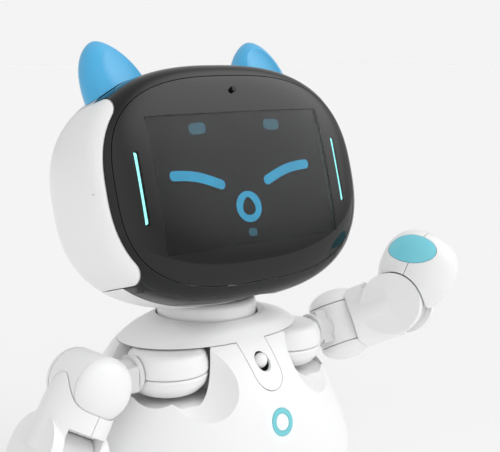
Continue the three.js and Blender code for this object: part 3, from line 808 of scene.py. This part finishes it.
def drum_parts():
    """Shoulder drum: its band and its two domed caps."""
    radius, half = DRUM["radius"], DRUM["half"]
    band = cut(
        revolve(softened([(0, -half), (radius, -half), (radius, half), (0, half)], 0.5), "y", 144),
        cylinder("y", DRUM["radius"] - WALL, -20, 20),
    )
    caps = []
    for facing in (-1, 1):
        collar = radius - WALL - 0.4
        bowl = [(collar, -facing * 3), (collar, 0)]
        for a in np.linspace(0, math.pi / 2, 28):
            bowl.append((radius * math.cos(a), facing * DRUM["cap"] * math.sin(a)))
        caps.append(moved(revolve(bowl, "y", 144), y=facing * (half + 0.7)))
    return band, caps[0], caps[1]


def sleeve_halves():
    """Upper-arm sleeve in two halves, with the drum recess and the elbow slot."""
    length, radius = ARM["elbow"], ARM["sleeve"]
    profile = [(0, -length), (radius, -length), (radius, -18), (radius - 1.4, -2), (radius - 5, 8),
               (radius - 12, 16), (0, 17)]
    sleeve = join(
        revolve([profile[0], profile[1]] + softened(profile[1:], 6)[1:], segments=144),
        moved(cylinder("x", ARM["cheek"], -radius + 1, radius - 1, 144), z=-length),
    )
    cut(sleeve, moved(moved(box(90, 90, 60, 0, 0, 30), ry=-23), z=-8))
    cut(sleeve, cylinder("y", DRUM["radius"] + GAP, -DRUM["half"] - 0.2, DRUM["half"] + 0.2, 144))
    for facing in (-1, 1):
        cut(sleeve, ellipsoid(DRUM["radius"] + GAP, DRUM["cap"] + GAP, DRUM["radius"] + GAP,
                              0, facing * (DRUM["half"] + 0.7), 0, around=144, along=72))
    width = 2 * ARM["slot"] + 1.4
    cut(
        sleeve,
        moved(cylinder("x", ARM["cheek"] - 3, -width / 2, width / 2, 144), z=-length),
        box(width, 60, 60, 0, 0, -length - 26),
        box(width, 40, 40, 0, -30, -length),
    )
    outer = common(copy_of(sleeve), box(60, 90, 140, 30 + GAP / 2, 0, -20))
    inner = common(sleeve, box(60, 90, 140, -30 - GAP / 2, 0, -20))
    return outer, inner


def hand_form(grow):
    """The hand's outer form, grown or shrunk."""
    return ellipsoid(HAND["rx"] + grow, HAND["ry"] + grow, HAND["rz"] + grow, 0, HAND["y"],
                     -ARM["hand_along"], HAND["power"], around=160, along=90)


def palm_form(grow, proud):
    """Oval inlay of even depth that follows the hand's surface."""
    length, height = PALM_SIZE["length"] + grow, PALM_SIZE["height"] + grow
    outline = [(length * math.cos(a), height * math.sin(a)) for a in angles(128)]
    block = moved(prism(outline, -15, 15), rz=-90)
    moved(block, PALM_SIZE["x"], PALM_SIZE["y"], PALM_SIZE["z"],
          rx=PALM_TURN["lean"], ry=PALM_TURN["turn"])
    return common(block, cut(hand_form(proud), hand_form(-PALM_SIZE["depth"] - grow)))


def hand_parts():
    """Front half, back half and palm pad of one hand."""
    hand = cut(hand_form(0), cylinder("x", ARM["cheek"] + 1, -40, 40, 144))
    cut(
        hand,
        moved(box(80, 60, 60, 0, -30, 30), rx=-42),
        moved(box(80, 60, 60, 0, 30, 30), rx=12),
        box(24 + GAP, 27, 40, 0, 0, -20),
        palm_form(0.35, 1),
    )
    front = common(copy_of(hand), box(80, 60, 120, 0, -30 - GAP / 2, -40))
    back = common(hand, box(80, 60, 120, 0, 30 + GAP / 2, -40))
    return front, back, palm_form(0, 0.2)


def forearm_core():
    """Elbow drum with the block that runs down into the hand."""
    return join(
        revolve(softened([(0, -14), (19.3, -14), (19.3, 14), (0, 14)], 1.0), "x", 144),
        box(24, 26, 24, 0, 0, -24),
    )


def build_arm(side, word):
    """Every piece of one arm. The right arm is the left one mirrored, in its own rest pose."""
    raised, spread, bend = REST[word]
    barrel_at = TORSO @ Matrix.Translation((side * BARREL["x"], BARREL["y"], 0))
    hub_at = barrel_at @ Matrix.Translation((0, 0, HUB_Z)) @ Matrix.Rotation(math.radians(raised), 4, "X")
    upper_at = (
        hub_at
        @ Matrix.Translation((side * DRUM["reach"], 0, 0))
        @ Matrix.Rotation(math.radians(-side * spread), 4, "Y")
    )
    elbow_at = (
        upper_at
        @ Matrix.Translation((0, 0, -ARM["elbow"]))
        @ Matrix.Rotation(math.radians(-bend), 4, "X")
    )

    def casing(obj, name, body, place_at, node, look=WHITE, slot="white_shell"):
        place(obj, f"{name}_{word}", look, f"{body}_{word}", place_at, [f"{node}_{word}"], side < 0)

    lower, upper = barrel_halves()
    casing(lower, "barrel_base", "barrel", barrel_at, "barrel_lower")
    casing(upper, "barrel_lid", "barrel", barrel_at, "barrel_upper")
    casing(hub_saddle(), "hub", "shoulder_hub", hub_at, "hub_saddle", HUB_GREY_AND_SHADED_CORE, "frame_grey")
    band, cap_front, cap_rear = drum_parts()
    casing(band, "drum", "upper_arm", upper_at, "drum_band")
    casing(cap_front, "cap_front", "upper_arm", upper_at, "drum_cap_front")
    casing(cap_rear, "cap_rear", "upper_arm", upper_at, "drum_cap_rear")
    outer, inner = sleeve_halves()
    casing(outer, "sleeve_half_outer", "upper_arm", upper_at, "sleeve_outer")
    casing(inner, "sleeve_half_inner", "upper_arm", upper_at, "sleeve_inner")
    # The core is white plastic; its darker grey here is painted shade.
    casing(forearm_core(), "core", "forearm", elbow_at, "forearm_core", HUB_GREY_AND_SHADED_CORE, "servo_black")
    hand_front, hand_back, palm = hand_parts()
    casing(hand_front, "hand_shell_front", "forearm", elbow_at, "hand_front")
    casing(hand_back, "hand_shell_back", "forearm", elbow_at, "hand_back")
    casing(palm, "palm_pad", "forearm", elbow_at, "palm_light", PALM, "light")


for side, word in SIDES:
    build_arm(side, word)

# ---------------------------------------------------------------- wheels
WHEEL = {"x": 74.0, "y": 12.0, "radius": 22.0, "half": 5.0, "rim": 18.0}
GROOVES = 36
HOLES = {"count": 5, "radius": 2.4, "circle": 9.5}


def tyre_form():
    """Tyre ring with cross grooves."""
    half, outer, inner = WHEEL["half"], WHEEL["radius"], WHEEL["rim"] + 0.3
    shoulder, flat = outer - 0.8, half - 1.6
    outside = [(inner, -half), (shoulder, -half), (outer, -flat), (outer, flat),
               (shoulder, half), (inner, half), (inner, -half)]
    tyre = ring_solid(softened(outside, 0.6), "x", 144)
    for k in range(GROOVES):
        cut(tyre, moved(box(12, 0.9, 1.4, 0, 0, outer), rx=k * 360 / GROOVES))
    return tyre


def wheel_hub():
    """Wheel disc, dished on both faces, with a ring of round holes."""
    half, rim = WHEEL["half"], WHEEL["rim"]
    hub = revolve(softened([(0, -half), (rim, -half), (rim, half), (0, half)], 0.7), "x", 144)
    for face in (-1, 1):
        cut(hub, cylinder("x", 14.5, face * 8 - 4, face * 8 + 4))
    for k in range(HOLES["count"]):
        angle = k / HOLES["count"] * math.tau
        hole = cylinder("x", HOLES["radius"], -10, 10, 32)
        cut(hub, moved(hole, y=HOLES["circle"] * math.cos(angle), z=HOLES["circle"] * math.sin(angle)))
    return hub


for side, word in SIDES:
    wheel_at = Matrix.Translation((side * WHEEL["x"], WHEEL["y"], WHEEL["radius"]))
    body = f"wheel_{word}"
    place(tyre_form(), f"tread_{word}", RUBBER, body, wheel_at, [f"tyre_{word}"])
    place(wheel_hub(), f"rim_{word}", WHITE, body, wheel_at, [f"wheel_hub_{word}"])

# ---------------------------------------------------------------- CAD nodes that stay
KEPT = {
    "chassis_frame": FRAME_GREY, "base_plate": FRAME_GREY,
    "caster_fork": FRAME_GREY, "head_frame": FRAME_GREY,
    "neck_turn_servo": SERVO, "neck_tilt_servo": SERVO, "speaker": SERVO, "gear_motor_left": SERVO,
    "gear_motor_right": SERVO, "charge_socket": BLACK, "main_board": BOARD, "battery_pack": CELL,
    "caster_wheel": RUBBER,
}
for name, look in KEPT.items():
    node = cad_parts[name]
    node.data.materials.clear()
    node.data.materials.append(look)

# ---------------------------------------------------------------- camera, floor and light
camera = bpy.data.objects.new("camera", bpy.data.cameras.new("camera"))
camera.data.lens = 76.32
camera.data.sensor_width = 36
camera.location = (-0.4827, -0.6012, 0.3464)
camera.rotation_euler = (math.radians(80.8), 0, math.radians(-41.4))
scene.collection.objects.link(camera)
scene.camera = camera


FLOOR_LIGHT = 0.9     # what the camera sees past the floor's edge, matched to the lit floor
floor = box(60, 60, 0.02, 0, 0, -0.01)
floor.name = "floor"
paper, paper_nodes, paper_links = material("paper")
paper_shader = paper_nodes["Principled BSDF"]
paper_shader.inputs["Base Color"].default_value = (0.94, 0.94, 0.94, 1)
paper_shader.inputs["Roughness"].default_value = 1.0
paper_shader.inputs["Specular IOR Level"].default_value = 0.0
floor.data.materials.append(paper)

world = bpy.data.worlds.new("studio")
scene.world = world
world.use_nodes = True
sky_nodes, sky_links = world.node_tree.nodes, world.node_tree.links
background = sky_nodes["Background"]
background.inputs["Color"].default_value = (1, 1, 1, 1)
where = sky_nodes.new("ShaderNodeTexCoord")


def soft_window(direction, wide, narrow, low, high):
    """Brightness round a direction: low beyond the wide angle, high inside the narrow one."""
    toward = sky_nodes.new("ShaderNodeVectorMath")
    toward.operation = "DOT_PRODUCT"
    toward.inputs[1].default_value = Vector(direction).normalized()
    sky_links.new(where.outputs["Generated"], toward.inputs[0])
    fall = sky_nodes.new("ShaderNodeMapRange")
    fall.interpolation_type = "SMOOTHSTEP"
    fall.inputs["From Min"].default_value = math.cos(math.radians(wide))
    fall.inputs["From Max"].default_value = math.cos(math.radians(narrow))
    fall.inputs["To Min"].default_value = low
    fall.inputs["To Max"].default_value = high
    sky_links.new(toward.outputs["Value"], fall.inputs["Value"])
    return fall.outputs["Result"]


def added(first, second):
    """Sum of two brightness values."""
    node = sky_nodes.new("ShaderNodeMath")
    node.operation = "ADD"
    sky_links.new(first, node.inputs[0])
    sky_links.new(second, node.inputs[1])
    return node.outputs[0]


overhead = soft_window((0, 0, 1), 92, 30, 0.56, 0.66)
front_right = soft_window((0.62, -0.42, 0.66), 42, 4, 0.0, 1.6)
front_left = soft_window((-0.45, -0.85, 0.3), 60, 10, 0.0, 0.45)
studio_light = added(added(overhead, front_right), front_left)
sight = sky_nodes.new("ShaderNodeLightPath")
seen = sky_nodes.new("ShaderNodeMix")
seen.inputs[3].default_value = FLOOR_LIGHT
sky_links.new(sight.outputs["Is Camera Ray"], seen.inputs[0])
sky_links.new(studio_light, seen.inputs[2])
sky_links.new(seen.outputs[0], background.inputs["Strength"])
